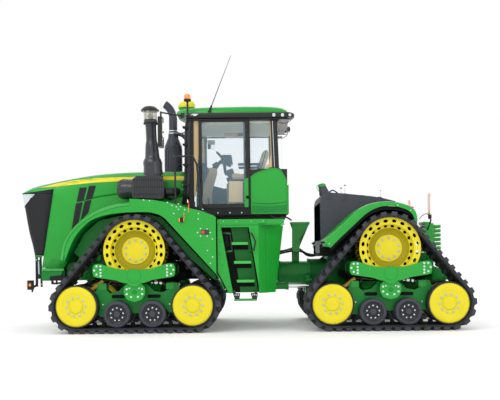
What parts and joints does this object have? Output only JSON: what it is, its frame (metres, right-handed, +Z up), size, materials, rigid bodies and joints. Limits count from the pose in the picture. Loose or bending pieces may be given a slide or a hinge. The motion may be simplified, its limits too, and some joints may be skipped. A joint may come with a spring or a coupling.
{
  "type": "articulated tracked tractor",
  "caption": "Articulated farm tractor on four triangular rubber tracks, with cab, tilting hood, oscillating hub, rear fuel tank and drawbar.",
  "frame": {"origin": "centre of the bounding box at ground level", "axes": "+X towards the rear of the tractor, +Y towards its right side, +Z up"},
  "size_m": [7.7698, 3, 4.7525],
  "materials": {
    "body_paint": "gloss",
    "undercarriage_paint": "gloss",
    "chassis_paint": "satin",
    "engine_paint": "satin",
    "wheel_paint": "gloss",
    "belt_rubber": "matt",
    "roller_rubber": "matt",
    "grille_black": "matt mesh",
    "trim_black": "satin",
    "glass": "clear",
    "seat_fabric": "woven",
    "console_plastic": "grained",
    "grey_plastic": "satin",
    "exhaust_steel": "heat-resistant matt",
    "tank_plastic": "grained",
    "chrome": "polished"
  },
  "bodies": {
    "front_frame": {"front_chassis": "chassis_paint", "front_saddles": "body_paint", "engine": "engine_paint", "front_fenders": "body_paint", "cab_frame": "trim_black", "cab_windows": "glass", "cab_panels": "body_paint", "cab_roof": "body_paint", "control_console": "console_plastic", "air_cleaner": "grey_plastic", "exhaust_stack": "exhaust_steel", "roof_fittings": "trim_black", "platform_and_steps": "body_paint"},
    "hood": {"hood_shell": "body_paint", "hood_grille": "grille_black"},
    "door": {"cab_door": "trim_black"},
    "seat": {"operator_seat": "seat_fabric"},
    "steering_wheel": {"steering_wheel": "trim_black"},
    "lower_step": {"lower_step": "body_paint"},
    "left_mirror": {"left_mirror": "trim_black"},
    "right_mirror": {"right_mirror": "trim_black"},
    "articulation_hub": {"articulation_hub": "chassis_paint"},
    "rear_frame": {"rear_chassis": "chassis_paint", "rear_saddles": "body_paint", "fuel_tank": "tank_plastic", "rear_fenders": "body_paint", "remote_valves": "body_paint"},
    "drawbar": {"drawbar": "chassis_paint"},
    "left_steering_barrel": {"left_steering_cylinder": "chassis_paint"},
    "left_steering_rod": {"left_steering_rod": "chrome"},
    "right_steering_barrel": {"right_steering_cylinder": "chassis_paint"},
    "right_steering_rod": {"right_steering_rod": "chrome"},
    "front_left_track": {"front_left_track_frame": "undercarriage_paint", "front_left_belt": "belt_rubber"},
    "front_left_drive_wheel": {"front_left_drive_wheel": "wheel_paint"},
    "front_left_fore_idler": {"front_left_fore_idler": "wheel_paint"},
    "front_left_aft_idler": {"front_left_aft_idler": "wheel_paint"},
    "front_left_fore_roller": {"front_left_fore_roller": "roller_rubber"},
    "front_left_aft_roller": {"front_left_aft_roller": "roller_rubber"},
    "front_right_track": {"front_right_track_frame": "undercarriage_paint", "front_right_belt": "belt_rubber"},
    "front_right_drive_wheel": {"front_right_drive_wheel": "wheel_paint"},
    "front_right_fore_idler": {"front_right_fore_idler": "wheel_paint"},
    "front_right_aft_idler": {"front_right_aft_idler": "wheel_paint"},
    "front_right_fore_roller": {"front_right_fore_roller": "roller_rubber"},
    "front_right_aft_roller": {"front_right_aft_roller": "roller_rubber"},
    "rear_left_track": {"rear_left_track_frame": "undercarriage_paint", "rear_left_belt": "belt_rubber"},
    "rear_left_drive_wheel": {"rear_left_drive_wheel": "wheel_paint"},
    "rear_left_fore_idler": {"rear_left_fore_idler": "wheel_paint"},
    "rear_left_aft_idler": {"rear_left_aft_idler": "wheel_paint"},
    "rear_left_fore_roller": {"rear_left_fore_roller": "roller_rubber"},
    "rear_left_aft_roller": {"rear_left_aft_roller": "roller_rubber"},
    "rear_right_track": {"rear_right_track_frame": "undercarriage_paint", "rear_right_belt": "belt_rubber"},
    "rear_right_drive_wheel": {"rear_right_drive_wheel": "wheel_paint"},
    "rear_right_fore_idler": {"rear_right_fore_idler": "wheel_paint"},
    "rear_right_aft_idler": {"rear_right_aft_idler": "wheel_paint"},
    "rear_right_fore_roller": {"rear_right_fore_roller": "roller_rubber"},
    "rear_right_aft_roller": {"rear_right_aft_roller": "roller_rubber"}
  },
  "joints": [
    {"name": "articulation_yaw", "type": "hinge", "parent": "front_frame", "child": "articulation_hub", "pos_m": [0.347, 0, 0.955], "axis": [0, 0, 1], "range_deg": [-28, 28]},
    {"name": "oscillation_roll", "type": "hinge", "parent": "articulation_hub", "child": "rear_frame", "pos_m": [0.347, 0, 0.955], "axis": [1, 0, 0], "range_deg": [-10, 10]},
    {"name": "front_left_track_pitch", "type": "hinge", "parent": "front_frame", "child": "front_left_track", "pos_m": [-1.774, -1.119, 0.7], "axis": [0, 1, 0], "range_deg": [-6, 6], "deforming": ["front_left_belt"]},
    {"name": "front_left_drive_spin", "type": "hinge", "parent": "front_frame", "child": "front_left_drive_wheel", "pos_m": [-1.774, -1.119, 1.37], "axis": [0, 1, 0], "continuous": true},
    {"name": "front_left_fore_idler_spin", "type": "hinge", "parent": "front_left_track", "child": "front_left_fore_idler", "pos_m": [-2.739, -1.119, 0.452], "axis": [0, 1, 0], "continuous": true},
    {"name": "front_left_aft_idler_spin", "type": "hinge", "parent": "front_left_track", "child": "front_left_aft_idler", "pos_m": [-0.809, -1.119, 0.452], "axis": [0, 1, 0], "continuous": true},
    {"name": "front_left_fore_roller_spin", "type": "hinge", "parent": "front_left_track", "child": "front_left_fore_roller", "pos_m": [-2.068, -1.119, 0.319], "axis": [0, 1, 0], "continuous": true},
    {"name": "front_left_aft_roller_spin", "type": "hinge", "parent": "front_left_track", "child": "front_left_aft_roller", "pos_m": [-1.48, -1.119, 0.319], "axis": [0, 1, 0], "continuous": true},
    {"name": "front_right_track_pitch", "type": "hinge", "parent": "front_frame", "child": "front_right_track", "pos_m": [-1.774, 1.119, 0.7], "axis": [0, 1, 0], "range_deg": [-6, 6], "deforming": ["front_right_belt"]},
    {"name": "front_right_drive_spin", "type": "hinge", "parent": "front_frame", "child": "front_right_drive_wheel", "pos_m": [-1.774, 1.119, 1.37], "axis": [0, 1, 0], "continuous": true},
    {"name": "front_right_fore_idler_spin", "type": "hinge", "parent": "front_right_track", "child": "front_right_fore_idler", "pos_m": [-2.739, 1.119, 0.452], "axis": [0, 1, 0], "continuous": true},
    {"name": "front_right_aft_idler_spin", "type": "hinge", "parent": "front_right_track", "child": "front_right_aft_idler", "pos_m": [-0.809, 1.119, 0.452], "axis": [0, 1, 0], "continuous": true},
    {"name": "front_right_fore_roller_spin", "type": "hinge", "parent": "front_right_track", "child": "front_right_fore_roller", "pos_m": [-2.068, 1.119, 0.319], "axis": [0, 1, 0], "continuous": true},
    {"name": "front_right_aft_roller_spin", "type": "hinge", "parent": "front_right_track", "child": "front_right_aft_roller", "pos_m": [-1.48, 1.119, 0.319], "axis": [0, 1, 0], "continuous": true},
    {"name": "rear_left_track_pitch", "type": "hinge", "parent": "rear_frame", "child": "rear_left_track", "pos_m": [2.468, -1.119, 0.7], "axis": [0, 1, 0], "range_deg": [-6, 6], "deforming": ["rear_left_belt"]},
    {"name": "rear_left_drive_spin", "type": "hinge", "parent": "rear_frame", "child": "rear_left_drive_wheel", "pos_m": [2.468, -1.119, 1.37], "axis": [0, 1, 0], "continuous": true},
    {"name": "rear_left_fore_idler_spin", "type": "hinge", "parent": "rear_left_track", "child": "rear_left_fore_idler", "pos_m": [1.503, -1.119, 0.452], "axis": [0, 1, 0], "continuous": true},
    {"name": "rear_left_aft_idler_spin", "type": "hinge", "parent": "rear_left_track", "child": "rear_left_aft_idler", "pos_m": [3.433, -1.119, 0.452], "axis": [0, 1, 0], "continuous": true},
    {"name": "rear_left_fore_roller_spin", "type": "hinge", "parent": "rear_left_track", "child": "rear_left_fore_roller", "pos_m": [2.174, -1.119, 0.319], "axis": [0, 1, 0], "continuous": true},
    {"name": "rear_left_aft_roller_spin", "type": "hinge", "parent": "rear_left_track", "child": "rear_left_aft_roller", "pos_m": [2.762, -1.119, 0.319], "axis": [0, 1, 0], "continuous": true},
    {"name": "rear_right_track_pitch", "type": "hinge", "parent": "rear_frame", "child": "rear_right_track", "pos_m": [2.468, 1.119, 0.7], "axis": [0, 1, 0], "range_deg": [-6, 6], "deforming": ["rear_right_belt"]},
    {"name": "rear_right_drive_spin", "type": "hinge", "parent": "rear_frame", "child": "rear_right_drive_wheel", "pos_m": [2.468, 1.119, 1.37], "axis": [0, 1, 0], "continuous": true},
    {"name": "rear_right_fore_idler_spin", "type": "hinge", "parent": "rear_right_track", "child": "rear_right_fore_idler", "pos_m": [1.503, 1.119, 0.452], "axis": [0, 1, 0], "continuous": true},
    {"name": "rear_right_aft_idler_spin", "type": "hinge", "parent": "rear_right_track", "child": "rear_right_aft_idler", "pos_m": [3.433, 1.119, 0.452], "axis": [0, 1, 0], "continuous": true},
    {"name": "rear_right_fore_roller_spin", "type": "hinge", "parent": "rear_right_track", "child": "rear_right_fore_roller", "pos_m": [2.174, 1.119, 0.319], "axis": [0, 1, 0], "continuous": true},
    {"name": "rear_right_aft_roller_spin", "type": "hinge", "parent": "rear_right_track", "child": "rear_right_aft_roller", "pos_m": [2.762, 1.119, 0.319], "axis": [0, 1, 0], "continuous": true},
    {"name": "hood_tilt", "type": "hinge", "parent": "front_frame", "child": "hood", "pos_m": [-0.998, 0, 2.78], "axis": [0, 1, 0], "range_deg": [0, 35]},
    {"name": "door_swing", "type": "hinge", "parent": "front_frame", "child": "door", "pos_m": [0.142, -0.886, 2.85], "axis": [0, 0, 1], "range_deg": [0, 75]},
    {"name": "steering_wheel_turn", "type": "hinge", "parent": "front_frame", "child": "steering_wheel", "pos_m": [-0.332, 0, 3.038], "axis": [0.7314, 0, 0.682], "continuous": true},
    {"name": "seat_swivel", "type": "hinge", "parent": "front_frame", "child": "seat", "pos_m": [0.047, 0, 2.4], "axis": [0, 0, 1], "range_deg": [-15, 25]},
    {"name": "lower_step_swing", "type": "hinge", "parent": "front_frame", "child": "lower_step", "pos_m": [0.062, -1.285, 0.639], "axis": [1, 0, 0], "range_deg": [-25, 25]},
    {"name": "left_mirror_fold", "type": "hinge", "parent": "front_frame", "child": "left_mirror", "pos_m": [-0.998, -0.89, 3.688], "axis": [0, 0, 1], "range_deg": [-15, 60]},
    {"name": "right_mirror_fold", "type": "hinge", "parent": "front_frame", "child": "right_mirror", "pos_m": [-0.998, 0.89, 3.688], "axis": [0, 0, 1], "range_deg": [-60, 15]},
    {"name": "drawbar_swing", "type": "hinge", "parent": "rear_frame", "child": "drawbar", "pos_m": [2.987, 0, 0.645], "axis": [0, 0, 1], "range_deg": [-14, 14]},
    {"name": "left_cylinder_swing", "type": "hinge", "parent": "front_frame", "child": "left_steering_barrel", "pos_m": [-0.273, -0.5, 0.72], "axis": [0, 0, 1], "range_deg": [-20, 20]},
    {"name": "left_cylinder_stroke", "type": "slide", "parent": "left_steering_barrel", "child": "left_steering_rod", "axis": [0.9998, 0.0201, 0], "range_m": [-0.24, 0.24]},
    {"name": "right_cylinder_swing", "type": "hinge", "parent": "front_frame", "child": "right_steering_barrel", "pos_m": [-0.273, 0.5, 0.72], "axis": [0, 0, 1], "range_deg": [-20, 20]},
    {"name": "right_cylinder_stroke", "type": "slide", "parent": "right_steering_barrel", "child": "right_steering_rod", "axis": [0.9998, -0.0201, 0], "range_m": [-0.24, 0.24]}
  ],
  "couplings": [
    {"joint": "front_left_fore_idler_spin", "follows": "front_left_drive_spin", "ratio": 1.4384},
    {"joint": "front_left_aft_idler_spin", "follows": "front_left_drive_spin", "ratio": 1.4384},
    {"joint": "front_left_fore_roller_spin", "follows": "front_left_drive_spin", "ratio": 2.2924},
    {"joint": "front_left_aft_roller_spin", "follows": "front_left_drive_spin", "ratio": 2.2924},
    {"joint": "front_right_fore_idler_spin", "follows": "front_right_drive_spin", "ratio": 1.4384},
    {"joint": "front_right_aft_idler_spin", "follows": "front_right_drive_spin", "ratio": 1.4384},
    {"joint": "front_right_fore_roller_spin", "follows": "front_right_drive_spin", "ratio": 2.2924},
    {"joint": "front_right_aft_roller_spin", "follows": "front_right_drive_spin", "ratio": 2.2924},
    {"joint": "rear_left_fore_idler_spin", "follows": "rear_left_drive_spin", "ratio": 1.4384},
    {"joint": "rear_left_aft_idler_spin", "follows": "rear_left_drive_spin", "ratio": 1.4384},
    {"joint": "rear_left_fore_roller_spin", "follows": "rear_left_drive_spin", "ratio": 2.2924},
    {"joint": "rear_left_aft_roller_spin", "follows": "rear_left_drive_spin", "ratio": 2.2924},
    {"joint": "rear_right_fore_idler_spin", "follows": "rear_right_drive_spin", "ratio": 1.4384},
    {"joint": "rear_right_aft_idler_spin", "follows": "rear_right_drive_spin", "ratio": 1.4384},
    {"joint": "rear_right_fore_roller_spin", "follows": "rear_right_drive_spin", "ratio": 2.2924},
    {"joint": "rear_right_aft_roller_spin", "follows": "rear_right_drive_spin", "ratio": 2.2924},
    {"joint": "left_cylinder_swing", "follows": "articulation_yaw", "ratio": 0.581},
    {"joint": "left_cylinder_stroke", "follows": "articulation_yaw", "m_per_rad": 0.4822},
    {"joint": "right_cylinder_swing", "follows": "articulation_yaw", "ratio": 0.581},
    {"joint": "right_cylinder_stroke", "follows": "articulation_yaw", "m_per_rad": -0.4822}
  ]
}
